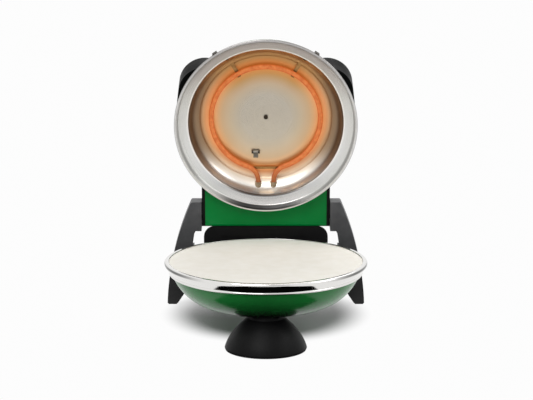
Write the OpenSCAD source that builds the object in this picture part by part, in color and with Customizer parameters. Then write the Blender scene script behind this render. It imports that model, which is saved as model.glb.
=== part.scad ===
// Electric pizza maker: a round cooker with a stone-topped bowl and a heated lid.
// It stands on a bell foot in front and two legs behind, and is drawn with its lid open.
// X points right, Y to the back, Z up. The origin is on the table, in the middle of the
// bounding box. Heights in the base count from the rim's top edge, so most are negative.
// Heights in the lid count from the plane of its mouth, as if the lid were closed.

/* [Rim and stone] */
// Outside radius of the steel rim
rim_r = 165; // [163:0.5:168]
// Height of the rim's top edge above the table
rim_h = 126.5; // [124:0.5:130]
// Height of the steel band round the rim
band_h = 20; // [19:0.5:21]
// Outside radius of the band's lower edge
band_low_r = 158; // [157.5:0.5:159]
// Radius of the opening in the rim, where the stone shows
rim_open_r = 157.5; // [156:0.5:158]
// Radius of the baking stone
stone_r = 158.5; // [158:0.5:159]
// Thickness of the baking stone
stone_t = 10; // [8:0.5:10]

/* [Bowl] */
// Depth of the bowl below the rim's top edge
bowl_depth = 74; // [73:0.5:75]
// Radius of the flat part of the bowl's floor
bowl_flat_r = 77; // [76:0.5:78]
// Radius of the bowl's curved side, seen in section
bowl_side_r = 80; // [79.5:0.5:80.5]

/* [Feet and legs] */
// Distance of the front foot ahead of the bowl's axis
foot_y = 80; // [74:1:84]
// Radius of the front foot at the table
foot_r = 66; // [62:0.5:68]
// Radius of the front foot's neck
foot_neck_r = 29.5; // [27:0.5:32]
// Width across the outer sides of the rear feet
stance_w = 338; // [332:1:344]
// Width across the outer sides of the hinge posts
post_w = 254; // [250:1:256]
// Height of the hinge posts above the rim
post_top = 61.5; // [58:0.5:64]
// Distance of the rear feet's front edge behind the bowl's axis
foot_back = 205; // [200:1:212]

/* [Lid] */
// Outside radius of the bead round the lid's mouth
bead_r = 152.5; // [152:0.5:153]
// Inner radius of the lid's skirt, at its foot
skirt_r = 147.2; // [147:0.1:147.3]
// Depth of the lid's skirt
skirt_h = 14; // [13.5:0.5:14.5]
// Radius of the mouth of the polished reflector
mouth_r = 129.5; // [129:0.5:130]
// Height of the reflector's mouth above the lid's mouth
shelf_h = 18; // [17.5:0.5:18.5]
// Radius of the reflector's ceiling
ceiling_r = 109; // [108:0.5:110]
// Height of the ceiling above the lid's mouth
ceiling_h = 48; // [47.5:0.5:48.5]
// Height of the dome above the lid's mouth
dome_h = 66; // [65:0.5:68]

/* [Hinge] */
// Distance of the hinge axis behind the bowl's axis
hinge_y = 180; // [179:0.5:181]
// Height of the hinge axis above the rim
hinge_z = 27; // [26.5:0.5:27.5]
// Angle between the open lid, as drawn, and the closed lid
open_angle = 79.2; // [77:0.1:80]
// Width across the hinge box with its end caps
hinge_box_w = 216; // [215:1:217]
// Radius of the hinge pins
pin_r = 4; // [3.5:0.1:4]

/* [Heaters] */
// Radius of the upper heater ring, at the middle of its tube
upper_heater_r = 91.5; // [90:0.5:93]
// Height of the upper heater above the lid's mouth
upper_heater_h = 40; // [39:0.5:40]
// Radius of the lower heater ring, at the middle of its tube
lower_heater_r = 98; // [95:0.5:100]
// Depth of the lower heater below the rim
lower_heater_d = 31; // [29:0.5:33]
// Radius of a heater tube
heater_tube_r = 4; // [3.5:0.1:4]

/* [Controls] */
// Radius of the round part of each control housing
housing_r = 44; // [43:0.5:45]
// Distance of each control housing's centre from the lid's middle line
housing_x = 101; // [100:0.5:102]
// Distance of each control housing's centre ahead of the lid's axis
housing_y = 52; // [51:0.5:53]
// Height of the control housings above the lid's mouth
housing_h = 75; // [74:0.5:77]
// Radius of the knobs
knob_r = 22; // [20:0.5:23]
// Height of the knobs
knob_h = 19; // [17:0.5:21]

/* [Hidden] */

$fn = 96;
far = 400;

steel = "#b9b7b4";
bright_steel = "#d6d2cb";
green = "#14793a";
black = "#2b2c2e";
rubber = "#1a1a1a";
stone_colour = "#e6ddc8";
glow = "#d8642a";
ceramic = "#e8e4da";
wire_red = "#a8382c";

// Sheet metal and clearances
sheet_t = 1.2;
thin_sheet_t = 0.8;
running_fit = 0.05;
closing_gap = 0.3;

// Screws and rivets: a screw's shank fills a threaded hole and passes a plain one
screw_r = 2;
screw_hole_r = 2.2;
screw_head_r = 4;
small_screw_r = 1.4;
rivet_r = 1.4;
rivet_head_r = 2;

// Heights of the stack under the stone, and the height of the lid's mouth when closed
stone_top = -sheet_t;
stone_low = stone_top - stone_t;
pan_flange_z = stone_low - thin_sheet_t / 2;
bowl_flange_z = stone_low - thin_sheet_t - sheet_t / 2;
mouth_closed_z = stone_top + closing_gap;
axis_h = hinge_z - mouth_closed_z;

// Rear feet, and the shift that puts the origin in the middle of the bounding box
foot_depth = 33;
pad_t = 2;
centre_y = (rim_r - foot_back - foot_depth) / 2;

// Outlines
function unit(v) = v / norm(v);
function left_of(v) = [-v[1], v[0]];

// Points of an arc about c
function arc(c, r, from, to, steps) =
    [for (i = [0:steps]) let (a = from + (to - from) * i / steps) c + r * [cos(a), sin(a)]];

// Points of a curve from a to c that is drawn towards b
function bend(a, b, c, steps) =
    [for (i = [0:steps]) let (t = i / steps)
        a * (1 - t) * (1 - t) + b * 2 * t * (1 - t) + c * t * t];

// Direction in which a sheet's thickness is measured at point i of the path p
function thickness_way(p, i) =
    let (last = len(p) - 1,
        before = i == 0 ? unit(p[1] - p[0]) : unit(p[i] - p[i - 1]),
        after = i == last ? before : unit(p[i + 1] - p[i]),
        way = left_of(unit(before + after)))
    way / (way * left_of(before));

// One face of a sheet that follows the path p, at the distance d to its left
function face(p, d) = [for (i = [0:len(p) - 1]) p[i] + thickness_way(p, i) * d];
function reversed(p) = [for (i = [len(p) - 1:-1:0]) p[i]];
function sheet(p, t) = concat(face(p, t / 2), reversed(face(p, -t / 2)));

// Places and common shapes
module in_base() {
    translate([0, centre_y, rim_h]) children();
}

module in_lid() {
    in_base() translate([0, hinge_y, hinge_z]) rotate([-open_angle, 0, 0])
        translate([0, -hinge_y, -axis_h]) children();
}

module both_sides() {
    children();
    mirror([1, 0, 0]) children();
}

module revolve(profile) {
    rotate_extrude() polygon(profile);
}

// A rod along X from x1 to x2
module rod_x(x1, x2, r) {
    translate([x1, 0, 0]) rotate([0, 90, 0]) cylinder(h = x2 - x1, r = r);
}

// A rod along Y from y1 to y2
module rod_y(y1, y2, r) {
    translate([0, y1, 0]) rotate([-90, 0, 0]) cylinder(h = y2 - y1, r = r);
}

// A profile in the Y-Z plane, extruded along X from x1 to x2
module side_plate(profile, x1, x2) {
    translate([x1, 0, 0]) rotate([90, 0, 90]) linear_extrude(x2 - x1) polygon(profile);
}

// A profile in the X-Z plane, extruded along Y from y1 to y2
module front_plate(profile, y1, y2) {
    translate([0, y2, 0]) rotate([90, 0, 0]) linear_extrude(y2 - y1) polygon(profile);
}

// A wire along a list of points
module wire(points, r) {
    for (i = [0:len(points) - 2])
        let (run = points[i + 1] - points[i], length = norm(run))
            translate(points[i])
                rotate([0, acos(run[2] / length), atan2(run[1], run[0])])
                    cylinder(h = length, r = r, $fn = 24);
    for (i = [1:len(points) - 2]) translate(points[i]) sphere(r = r * 1.04, $fn = 24);
}

// An open heater ring whose ends turn outward behind. Bending draws the tube a little
// thinner at the two turns.
heater_bend_r = 28;
heater_thinning = 0.1;
heater_end_x = 13;
heater_pin_r = 1.5;
heater_pin_l = 4;

module heater(ring_r, end_y) {
    bend_x = heater_end_x + heater_bend_r;
    bend_y = sqrt(pow(ring_r + heater_bend_r, 2) - bend_x * bend_x);
    meet = atan2(bend_y, bend_x);
    rotate([0, 0, 180 - meet]) rotate_extrude(angle = 180 + 2 * meet)
        translate([ring_r, 0]) circle(r = heater_tube_r, $fn = 48);
    both_sides() {
        translate([bend_x, bend_y, 0]) rotate([0, 0, 180]) rotate_extrude(angle = meet + 1)
            translate([heater_bend_r, 0]) circle(r = heater_tube_r - heater_thinning, $fn = 48);
        translate([heater_end_x, 0, 0]) {
            rod_y(bend_y - 1, end_y, heater_tube_r, $fn = 48);
            rod_y(end_y - 1, end_y + heater_pin_l, heater_pin_r, $fn = 48);
        }
    }
}

// Bowl and rim
bowl_side_centre = [bowl_flat_r, bowl_side_r - bowl_depth];
bowl_mid_r = bowl_side_r - sheet_t / 2;
bowl_flange_r = 149;
bowl_path = concat(
    [[bowl_flange_r, bowl_flange_z]],
    arc(bowl_side_centre, bowl_mid_r, asin((bowl_flange_z - bowl_side_centre[1]) / bowl_mid_r),
        -90, 24),
    [[0, -bowl_depth + sheet_t / 2]]);

// The space inside the bowl's outer face, for cutting what fits against it
module bowl_solid() {
    revolve(concat([[0, bowl_flange_z + sheet_t / 2]], face(bowl_path, sheet_t / 2)));
}

foot_screw_x = 14;
cord_z = -54;
cord_hole_r = 5.5;
cord_bore_r = 5;
gland_r = 8.5;
gland_y = 190;
lead_r = 3;
flange_rivet_ring_r = 151;

// Screws through the bowl's side into the saddle behind it, square to the sheet
bridge_screw_turn = 13;
bridge_screw_slope = 37;

module bridge_screw_axes() {
    for (side = [-1, 1]) rotate([0, 0, 90 + side * bridge_screw_turn])
        translate([bowl_side_centre[0], 0, bowl_side_centre[1]])
            rotate([0, 90 + bridge_screw_slope, 0]) children();
}

module at_rivets() {
    for (a = [45:90:315]) rotate([0, 0, a]) translate([flange_rivet_ring_r, 0, 0])
        children();
}

module bowl_shell() {
    color(green) in_base() difference() {
        revolve(sheet(bowl_path, sheet_t));
        both_sides() translate([foot_screw_x, -foot_y, -bowl_depth - 1])
            cylinder(h = 10, r = screw_hole_r);
        bridge_screw_axes() translate([0, 0, bowl_side_r - 5]) cylinder(h = 10, r = screw_hole_r);
        translate([0, 0, cord_z]) rod_y(bowl_flat_r, rim_r, cord_hole_r);
        at_rivets() translate([0, 0, bowl_flange_z - sheet_t]) cylinder(h = 2 * sheet_t, r = rivet_r);
    }
}

// A folded steel rim: top lip, sloping band, low bead and a lip against the bowl
rim_corner_r = 2.4;
rim_edge_h = 4.5;
rim_bead_r = 1.5;
rim_lip_r = 151;
rim_edge_r = rim_r - sheet_t / 2;
rim_path = concat(
    [[rim_open_r, -sheet_t / 2]],
    arc([rim_edge_r - rim_corner_r, -sheet_t / 2 - rim_corner_r], rim_corner_r, 90, 0, 6),
    [[rim_edge_r, -rim_edge_h], [band_low_r - 1, -band_h + 3.8]],
    arc([band_low_r - 2, -band_h + rim_bead_r + sheet_t / 2], rim_bead_r, 40, -90, 6),
    [[rim_lip_r, -band_h + sheet_t / 2]]);

module base_ring() {
    color(steel) in_base() difference() {
        revolve(sheet(rim_path, sheet_t));
        bowl_solid();
    }
}

module baking_stone() {
    chamfer = 1.2;
    color(stone_colour) in_base() revolve([
        [0, stone_low], [stone_r - chamfer, stone_low], [stone_r, stone_low + chamfer],
        [stone_r, stone_top - chamfer], [stone_r - chamfer, stone_top], [0, stone_top]]);
}

// A pan under the stone, with holes for the ends of the lower heater
pan_floor_z = -46.2;
terminal_r = 5.5;

module reflector_pan() {
    flange_r = 148;
    low_r = 130;
    path = concat(
        [[stone_r, pan_flange_z], [flange_r, pan_flange_z], [low_r, pan_floor_z + 6]],
        bend([low_r - 1.2, pan_floor_z + 4], [low_r - 3.6, pan_floor_z],
            [low_r - 8, pan_floor_z], 5),
        [[0, pan_floor_z]]);
    color(bright_steel) in_base() difference() {
        revolve(sheet(path, thin_sheet_t));
        both_sides() translate([heater_end_x, 0, -lower_heater_d])
            rod_y(lower_heater_r, stone_r, terminal_r);
        at_rivets() translate([0, 0, pan_flange_z - thin_sheet_t])
            cylinder(h = 2 * thin_sheet_t, r = rivet_r);
        lower_clip_places() translate([0, 0, pan_floor_z - thin_sheet_t])
            cylinder(h = 2 * thin_sheet_t, r = rivet_r);
    }
}

module pan_rivets() {
    low = bowl_flange_z - sheet_t / 2;
    head_h = 1.2;
    color(steel) in_base() at_rivets() {
        translate([0, 0, low - head_h]) cylinder(h = stone_low - low + head_h, r = rivet_r);
        translate([0, 0, low - head_h]) cylinder(h = head_h, r = rivet_head_r);
    }
}

// Lower heater
lower_heater_end_y = 137;

module lower_clip_places() {
    for (a = [30, 150, 270]) rotate([0, 0, a]) translate([lower_heater_r, 0, 0]) children();
}

module lower_heater() {
    color(glow) in_base() translate([0, 0, -lower_heater_d])
        heater(lower_heater_r, lower_heater_end_y);
}

// Saddles that hold the heater above the pan, each on a riveted foot
module lower_heater_clips() {
    bore_r = heater_tube_r + 0.15;
    clip_w = 8;
    base_w = 14;
    floor_top = pan_floor_z + thin_sheet_t / 2;
    color(steel) in_base() lower_clip_places() {
        difference() {
            union() {
                translate([0, 0, -lower_heater_d]) rod_y(-clip_w / 2, clip_w / 2, bore_r + 1);
                translate([-sheet_t / 2, -clip_w / 2, floor_top])
                    cube([sheet_t, clip_w, -lower_heater_d - floor_top]);
                translate([-base_w / 2, -clip_w / 2, floor_top]) cube([base_w, clip_w, sheet_t]);
            }
            translate([0, 0, -lower_heater_d]) rod_y(-clip_w, clip_w, bore_r);
        }
        translate([0, 0, pan_floor_z - sheet_t]) cylinder(h = floor_top - pan_floor_z + 2 * sheet_t,
            r = rivet_r);
    }
}

module lower_terminals() {
    length = 9;
    color(ceramic) in_base() both_sides()
        translate([heater_end_x, lower_heater_end_y, -lower_heater_d]) difference() {
            rod_y(-length, 0, terminal_r);
            rod_y(-length - 1, 1, heater_tube_r);
        }
}

// Mains terminals on the bowl's floor
block_y = 58;
block_l = 34;
block_w = 18;
block_h = 12;
block_pitch = 11;
floor_z = -bowl_depth + sheet_t;

module terminal_block() {
    color(ceramic) in_base() difference() {
        translate([-block_l / 2, block_y, floor_z]) cube([block_l, block_w, block_h]);
        for (x = [-1, 0, 1], y = [0.25, 0.75])
            translate([x * block_pitch, block_y + y * block_w, floor_z + block_h / 3])
                cylinder(h = far, r = screw_hole_r);
    }
}

// The lead from the gland, and the two wires up to the heater's pins
base_wire_r = 1.2;

module base_wiring() {
    back = block_y + block_w;
    entry_z = floor_z + block_h / 2;
    out_y = back + 8;
    pin_y = lower_heater_end_y + heater_pin_l / 2;
    pin_low = -lower_heater_d - heater_pin_r;
    color(wire_red) in_base() {
        wire([[0, gland_y - 1, cord_z], [0, 120, cord_z], [0, out_y + 8, entry_z + 3],
            [0, out_y, entry_z], [0, back, entry_z]], lead_r);
        for (side = [-1, 1])
            wire([[side * block_pitch, back, entry_z], [side * block_pitch, out_y, entry_z],
                [side * heater_end_x, 124, -51], [side * heater_end_x, pin_y, -38],
                [side * heater_end_x, pin_y, pin_low]], base_wire_r);
    }
}

// Front foot: a hollow bell that fits against the bowl
foot_wall = 3.5;
foot_lip_h = 3;
foot_neck_h = 52;
foot_hollow_h = 45;
foot_screw_h = 26;

module front_foot() {
    bell = bend([foot_r, foot_lip_h], [foot_r - 8, 29.5], [foot_neck_r, foot_neck_h], 16);
    hollow = bend([foot_r - foot_wall, foot_lip_h], [foot_r - 9, 25],
        [foot_neck_r - 6, foot_hollow_h], 12);
    color(black) difference() {
        translate([0, centre_y - foot_y, 0]) difference() {
            revolve(concat([[0, pad_t], [foot_r, pad_t]], bell,
                [[foot_neck_r - 3, foot_neck_h + 8], [0, foot_neck_h + 8]]));
            difference() {
                revolve(concat([[0, 0], [foot_r - foot_wall, 0]], hollow,
                    [[0, foot_hollow_h]]));
                both_sides() translate([foot_screw_x, 0, foot_screw_h])
                    cylinder(h = foot_neck_h, r = 3 * screw_r);
            }
            both_sides() translate([foot_screw_x, 0, foot_screw_h - 1])
                cylinder(h = foot_neck_h, r = screw_r);
        }
        in_base() bowl_solid();
    }
}

module foot_pad() {
    color(rubber) translate([0, centre_y - foot_y, 0])
        cylinder(h = pad_t, r = foot_r - 1);
}

module foot_screws() {
    head_h = 2.8;
    color(steel) in_base() translate([0, -foot_y, 0]) both_sides() {
        translate([foot_screw_x, 0, foot_screw_h - rim_h])
            cylinder(h = rim_h - foot_screw_h + floor_z + 1, r = screw_r);
        difference() {
            translate([foot_screw_x, 0, floor_z - sheet_t / 2])
                cylinder(h = head_h + sheet_t / 2, r = screw_head_r);
            translate([0, foot_y, 0]) revolve(sheet(bowl_path, sheet_t));
        }
    }
}

// Rear legs: open behind, each with a hinge post on top and a block for the bridge
leg_wall = 4;
leg_low = pad_t - rim_h;
leg_inner_x = hinge_box_w / 2 + 0.8;
stance_x = stance_w / 2;
post_x = post_w / 2;
post_low = 11;
post_chamfer = 2;
foot_w = 17.5;
boss_r = 10;

// Outline of a leg seen from the front, and its front and back edges seen from the side
function leg_front(wall) = concat(
    [[leg_inner_x + wall, post_top - wall], [post_x - post_chamfer - wall, post_top - wall]],
    bend([post_x - wall, post_top - post_chamfer - wall], [stance_x - 5 - wall, -24],
        [stance_x - wall, leg_low + wall], 16),
    [[stance_x - foot_w + wall, leg_low + wall]],
    bend([138 + wall, -102], [128 + wall, -40], [121 + wall, post_low - 4 + wall], 10),
    [[119 + wall, post_low + wall], [leg_inner_x + wall, post_low + wall]]);

function leg_front_edge(wall) =
    bend([163 + wall, post_top], [165 + wall, -56], [foot_back + wall, leg_low], 12);

leg_back_edge = bend([foot_back + foot_depth, leg_low], [203, -40], [198, post_top], 12);

// The block inside each leg that the bridge is screwed to
leg_block_x = 122;
leg_block_w = 15;
leg_block_y = 184;
leg_block_d = 22;
leg_block_z = -70;
leg_block_h = 52;

// The two screws on each side that hold the bridge to the leg, as [y, z]
leg_screw_places = [[190, -32], [197, -58]];
leg_screw_grip = 14;

module leg_screw_axes() {
    for (p = leg_screw_places) translate([0, p[0], p[1]]) children();
}

module leg() {
    difference() {
        union() {
            difference() {
                intersection() {
                    front_plate(leg_front(0), 0, far);
                    side_plate(concat(leg_front_edge(0), leg_back_edge), 0, far);
                }
                intersection() {
                    front_plate(leg_front(leg_wall), 0, far);
                    side_plate(concat(leg_front_edge(leg_wall),
                        [[far, leg_low], [far, post_top]]), 0, far);
                }
            }
            translate([0, hinge_y, hinge_z]) rod_x(leg_inner_x, post_x, boss_r);
            translate([leg_block_x, leg_block_y, leg_block_z])
                cube([leg_block_w, leg_block_d, leg_block_h]);
        }
        translate([0, hinge_y, hinge_z]) rod_x(leg_inner_x - 1, post_x + 1, pin_r);
        leg_screw_axes() rod_x(leg_block_x - 1, leg_block_x + leg_block_w + 1, screw_hole_r);
    }
}

module left_leg() {
    color(black) in_base() mirror([1, 0, 0]) leg();
}

module right_leg() {
    color(black) in_base() leg();
}

module leg_pads() {
    inset = 1.5;
    color(rubber) in_base() both_sides()
        translate([stance_x - foot_w + inset, foot_back + inset, -rim_h])
            cube([foot_w - 2 * inset, foot_depth - 2 * inset, pad_t]);
}

// Rear bridge: a beam between the legs, a saddle against the bowl and a plate behind the rim
beam_y = 184;
beam_d = 20;
beam_low = -66;
beam_top = -22;
pocket_x = 54;
pocket_w = 50;
pocket_h = 40;
pocket_wall = 4;
saddle_w = 100;
saddle_y = 112;
saddle_low = -64;
saddle_top = -26;
plate_x = 105;
plate_y = 169;
plate_t = 4;
plate_top = 18.7;
plate_low = -30;
plate_corner_r = 18;
plate_base_h = 8;
stop_x = 30;
stop_w = 15;
stop_y = 194;
stop_d = 8;
stop_top = 18;
bumper_t = 3;
bridge_screw_end = bowl_side_r + 14;

module rear_bridge() {
    corner = [plate_x - plate_corner_r, plate_top - plate_corner_r];
    plate = concat([[-plate_x, plate_low], [plate_x, plate_low]],
        arc(corner, plate_corner_r, 0, 90, 8),
        arc([-corner[0], corner[1]], plate_corner_r, 90, 180, 8));
    color(black) in_base() difference() {
        union() {
            translate([-leg_block_x, beam_y, beam_low])
                cube([2 * leg_block_x, beam_d, beam_top - beam_low]);
            translate([-saddle_w / 2, saddle_y, saddle_low])
                cube([saddle_w, beam_y - saddle_y + 1, saddle_top - saddle_low]);
            translate([-plate_x, plate_y, plate_low])
                cube([2 * plate_x, beam_y - plate_y + 1, plate_base_h]);
            front_plate(plate, plate_y, plate_y + plate_t);
            both_sides() translate([stop_x, stop_y, beam_top - 1])
                cube([stop_w, stop_d, stop_top - beam_top + 1]);
        }
        bowl_solid();
        both_sides() {
            translate([pocket_x, beam_y + pocket_wall, beam_low - 1])
                cube([pocket_w, beam_d - 2 * pocket_wall, pocket_h + 1]);
            leg_screw_axes() rod_x(leg_block_x - leg_screw_grip, leg_block_x + 1, screw_r);
        }
        bridge_screw_axes() cylinder(h = bridge_screw_end + 1, r = screw_r);
        translate([0, 0, cord_z]) {
            rod_y(0, beam_y + 1, cord_hole_r);
            rod_y(beam_y, far, gland_r);
            translate([-cord_hole_r, 0, -rim_h]) cube([2 * cord_hole_r, beam_y + 1, rim_h]);
            translate([-gland_r, beam_y, -rim_h]) cube([2 * gland_r, far, rim_h]);
        }
    }
}

module bridge_screws() {
    head_h = 2.5;
    head_top = bowl_side_r - sheet_t - 0.1;
    color(steel) in_base() bridge_screw_axes() {
        translate([0, 0, head_top - head_h]) cylinder(h = head_h, r = screw_head_r);
        translate([0, 0, head_top - 1]) cylinder(h = bridge_screw_end - head_top + 1, r = screw_r);
    }
}

module leg_screws() {
    head_x = leg_block_x + leg_block_w;
    head_h = 3;
    color(steel) in_base() both_sides() leg_screw_axes() {
        rod_x(leg_block_x - leg_screw_grip, head_x + 1, screw_r);
        rod_x(head_x, head_x + head_h, screw_head_r);
    }
}

module stop_bumpers() {
    color(rubber) in_base() both_sides()
        translate([stop_x + 1, stop_y + 0.5, stop_top])
            cube([stop_w - 2, stop_d - 1, bumper_t]);
}

pin_inner_x = 94;
pin_head_r = 7;
pin_head_h = 2.5;

module hinge_pins() {
    color(steel) in_base() both_sides() translate([0, hinge_y, hinge_z]) {
        rod_x(pin_inner_x, post_x + 1, pin_r);
        rod_x(post_x, post_x + pin_head_h, pin_head_r);
    }
}

module friction_washers() {
    color(rubber) in_base() both_sides() translate([0, hinge_y, hinge_z]) difference() {
        rod_x(hinge_box_w / 2 + closing_gap, leg_inner_x, boss_r);
        rod_x(hinge_box_w / 2, leg_inner_x + 1, pin_r);
    }
}

module cord_gland() {
    back = beam_y + beam_d;
    flange_r = 11.5;
    flange_t = 4;
    color(rubber) in_base() translate([0, 0, cord_z]) difference() {
        union() {
            rod_y(gland_y, back + 1, gland_r);
            rod_y(back, back + flange_t, flange_r);
        }
        rod_y(gland_y - 1, back + flange_t + 1, cord_bore_r);
    }
}

// Lid dome: a rounded shell over the reflector
dome_r = bead_r - 2.5;
dome_power = 0.85;
dome_steps = 20;

function dome_curve(inset) = [for (i = [0:dome_steps]) let (t = i * 90 / dome_steps)
    [(dome_r - inset) * pow(cos(t), dome_power),
        sheet_t + (dome_h - sheet_t - inset) * pow(sin(t), dome_power)]];

// The space inside the dome: inset 0 reaches its outer face, sheet_t its inner one
module dome_space(inset) {
    revolve(concat([[0, sheet_t]], dome_curve(inset)));
}

// Screws of each housing, as [x, y, height of the head's underside]
housing_screw_places = [[82, -22, 53.5], [125, -32, 35.5]];
wire_ring_r = 133;
wire_ring_z = 32;
wire_turn = 25;
wire_hole_r = 4;

module at_wire_holes() {
    both_sides() translate([wire_ring_r * cos(wire_turn), -wire_ring_r * sin(wire_turn), 0])
        children();
}

module at_housing_screws() {
    both_sides() for (p = housing_screw_places) translate([p[0], p[1], 0]) children();
}

wire_slot_w = 80;
wire_slot_low = 26;
wire_slot_h = 24;

module lid_shell() {
    color(green) in_lid() difference() {
        revolve(concat(dome_curve(0), reversed(dome_curve(sheet_t))));
        translate([-wire_slot_w / 2, 0, wire_slot_low]) cube([wire_slot_w, far, wire_slot_h]);
        at_wire_holes() cylinder(h = far, r = wire_hole_r);
        at_housing_screws() cylinder(h = far, r = screw_hole_r);
    }
}

// Steel ring round the mouth: hemmed bead, skirt and a shelf that rises to the reflector
bead_h = 2.6;
skirt_mid_r = skirt_r + sheet_t / 2;
shelf_outer = [skirt_mid_r - 1.6, skirt_h];
shelf_inner = [mouth_r, shelf_h];
shelf_way = unit(shelf_inner - shelf_outer);

module lid_ring() {
    path = [[bead_r - sheet_t / 2, bead_h], [bead_r - sheet_t / 2, sheet_t / 2],
        [skirt_mid_r, sheet_t / 2], shelf_outer, shelf_inner];
    color(steel) in_lid() revolve(sheet(path, sheet_t));
}

module ring_clips() {
    clip_turn = 33.5;
    clip_w = 8;
    clip_h = 10;
    clip_low = 0.4;
    color(steel) in_lid() for (side = [-1, 1]) rotate([0, 0, 270 + side * clip_turn])
        difference() {
            translate([dome_r - 2, -clip_w / 2, clip_low])
                cube([bead_r + 1 - dome_r + 2, clip_w, clip_h]);
            cylinder(h = bead_h + 0.8, r = bead_r, $fn = 360);
            dome_space(0, $fn = 360);
        }
}

// Polished reflector: flange on the shelf, curved wall and flat ceiling
ceiling_mid_z = ceiling_h + thin_sheet_t / 2;
on_shelf = -left_of(shelf_way) * (sheet_t + thin_sheet_t) / 2;
reflector_path = concat(
    [shelf_outer + shelf_way * 3 + on_shelf, shelf_inner - shelf_way * 2 + on_shelf],
    bend([mouth_r + 0.7, shelf_h + 2], [mouth_r - 2.5, shelf_h + 20],
        [ceiling_r + 2.5, ceiling_h - 3.4], 12),
    bend([ceiling_r + 1.5, ceiling_h - 1.8], [ceiling_r, ceiling_mid_z],
        [ceiling_r - 3, ceiling_mid_z], 4),
    [[0, ceiling_mid_z]]);
bracket_turn = 30.6;

// The space in front of the reflector, for cutting what ends on its wall
module reflector_space() {
    revolve(concat([[0, 0], [mouth_r, 0]], face(reflector_path, thin_sheet_t / 2)));
}

module at_brackets() {
    for (side = [-1, 1]) rotate([0, 0, 270 + side * bracket_turn]) children();
}

module lid_reflector() {
    color(bright_steel) in_lid() difference() {
        revolve(sheet(reflector_path, thin_sheet_t));
        both_sides() translate([heater_end_x, 0, upper_heater_h])
            rod_y(upper_heater_r, bead_r, terminal_r);
        cylinder(h = far, r = screw_r);
    }
}

module reflector_rivets() {
    height = 3.2;
    color(steel) in_lid() difference() {
        at_brackets() translate([mouth_r - 3.4, 0, shelf_h + 13]) rotate([0, 62, 0])
            translate([0, 0, -height / 2]) cylinder(h = height, r = 2.6);
        revolve(sheet(reflector_path, thin_sheet_t), $fn = 360);
        revolve(concat([[far, 0], [mouth_r + 2, 0]], face(reflector_path, 0), [[0, far], [far, far]]),
            $fn = 360);
    }
}

module lid_insulation() {
    pad_r = 80;
    pad_h = 6;
    color(stone_colour) in_lid() difference() {
        translate([0, 0, ceiling_h + thin_sheet_t]) cylinder(h = pad_h, r = pad_r);
        cylinder(h = far, r = screw_hole_r);
    }
}

// Upper heater, its strap across the gap and its brackets on the wall
upper_plate_z = upper_heater_h + heater_tube_r;
upper_plate_t = 1;
upper_heater_end_y = 127;

module upper_heater() {
    color(glow) in_lid() translate([0, 0, upper_heater_h])
        heater(upper_heater_r, upper_heater_end_y);
}

module heater_strap() {
    strap_w = 4;
    half_l = 28;
    color(steel) in_lid() {
        translate([-half_l, upper_heater_r - 3, upper_plate_z])
            cube([2 * half_l, strap_w, upper_plate_t]);
        both_sides() translate([-half_l, upper_heater_r - 2, upper_plate_z])
            cube([strap_w, 3, ceiling_h - upper_plate_z]);
    }
}

module heater_brackets() {
    low_r = upper_heater_r - heater_tube_r - 1.2;
    bracket_w = 6;
    hook_h = 8;
    color(steel) in_lid() intersection() {
        at_brackets() {
            translate([low_r, -bracket_w / 2, upper_plate_z])
                cube([mouth_r - low_r, bracket_w, upper_plate_t]);
            translate([low_r, -bracket_w / 2, upper_plate_z + upper_plate_t - hook_h])
                cube([1, bracket_w, hook_h]);
        }
        reflector_space();
    }
}

module upper_terminals() {
    length = 12;
    color(ceramic) in_lid() both_sides()
        translate([heater_end_x, upper_heater_end_y - 1, upper_heater_h]) difference() {
            rod_y(-length, 0, terminal_r);
            rod_y(-length - 1, 1, heater_tube_r);
        }
}

// The reflector hangs from the dome on this screw
module ceiling_screw() {
    head_h = 3;
    color(steel) in_lid() {
        translate([0, 0, ceiling_h - head_h]) cylinder(h = head_h, r = 3.5);
        translate([0, 0, ceiling_h - 1]) cylinder(h = dome_h - sheet_t - ceiling_h + 1, r = screw_r);
    }
}

// Thermostat's sensing bulb, held under the ceiling
bulb_x = -17;
bulb_y = 62;
bulb_r = 2.5;
bulb_l = 14;
bulb_z = ceiling_h - 4;

module thermostat_bulb() {
    color(bright_steel) in_lid() translate([bulb_x, bulb_y, bulb_z])
        rod_x(-bulb_l / 2, bulb_l / 2, bulb_r);
}

module bulb_bracket() {
    half_w = 4;
    low = 2;
    color(steel) in_lid() translate([bulb_x, bulb_y, bulb_z]) difference() {
        union() {
            rod_x(-half_w, half_w, bulb_r + 0.8);
            translate([-half_w, -half_w, low]) cube([2 * half_w, 15, ceiling_h - bulb_z - low]);
            translate([0, 2 * half_w, low - 1.2]) cylinder(h = 2, r = 2);
        }
        rod_x(-bulb_l, bulb_l, bulb_r);
    }
}

// Hinge box: sheet steel wrapped round the lid's rear, with a cap on each end
cap_t = 5.5;
wrap_x = hinge_box_w / 2 - cap_t;
wrap_front = 90;
wrap_low = 20.6;
wrap_low_r = 2;
wrap_back = 187.8;
wrap_top_r = 11.4;
wrap_top = 38.6;
wrap_front_top = 57.8;
wrap_path = concat(
    [[wrap_front, wrap_front_top], [wrap_back - wrap_top_r, wrap_top + 12]],
    arc([wrap_back - wrap_top_r, wrap_top], wrap_top_r, 80, 0, 8),
    arc([wrap_back - wrap_low_r, wrap_low + wrap_low_r], wrap_low_r, 0, -90, 6),
    [[wrap_front, wrap_low]]);
cap_outline = face(wrap_path, sheet_t / 2);

// Two lugs welded in each end of the box take the cap's screws, at [y, z]
lug_places = [[146, 27], [126, 48.3]];
lug_t = 4;
lug_w = 12;
lug_h = 12.8;
cap_screw_head_h = 2;
cap_screw_head_r = 3;

// Ceramic bushes in the caps run on the pins
bush_r = 5.2;
bush_seat_r = 6.5;

module at_lugs() {
    for (p = lug_places) translate([0, p[0], p[1]]) children();
}

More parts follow.
